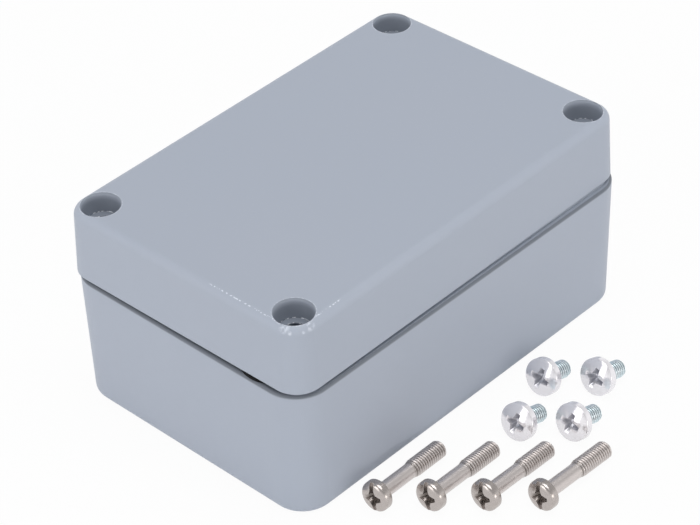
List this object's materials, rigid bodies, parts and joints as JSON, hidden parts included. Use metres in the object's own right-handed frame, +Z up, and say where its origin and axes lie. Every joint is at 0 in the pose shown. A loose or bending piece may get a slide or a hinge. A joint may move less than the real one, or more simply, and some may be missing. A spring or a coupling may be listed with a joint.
{
  "type": "die cast aluminium box",
  "caption": "Two part die cast aluminium box, powder coated grey, lid resting loose on the base over a rubber seal, lid and plate screws lying beside it.",
  "frame": {"origin": "middle of the base's underside, on the ground", "axes": "+Z up, +X along the box's long side, the loose screws lie on the -Y side"},
  "size_m": [0.1221, 0.1232, 0.0576],
  "materials": {
    "powder_coat": "smooth satin powder coat, light bluish grey",
    "rubber": "matt black",
    "stainless": "turned stainless steel",
    "zinc": "bright zinc plated steel"
  },
  "bodies": {
    "root": {"base": "powder_coat", "lid": "powder_coat", "gasket": "rubber", "lid_screw_1": "stainless", "lid_screw_2": "stainless", "lid_screw_3": "stainless", "lid_screw_4": "stainless", "plate_screw_1": "zinc", "plate_screw_2": "zinc", "plate_screw_3": "zinc", "plate_screw_4": "zinc"}
  },
  "joints": []
}
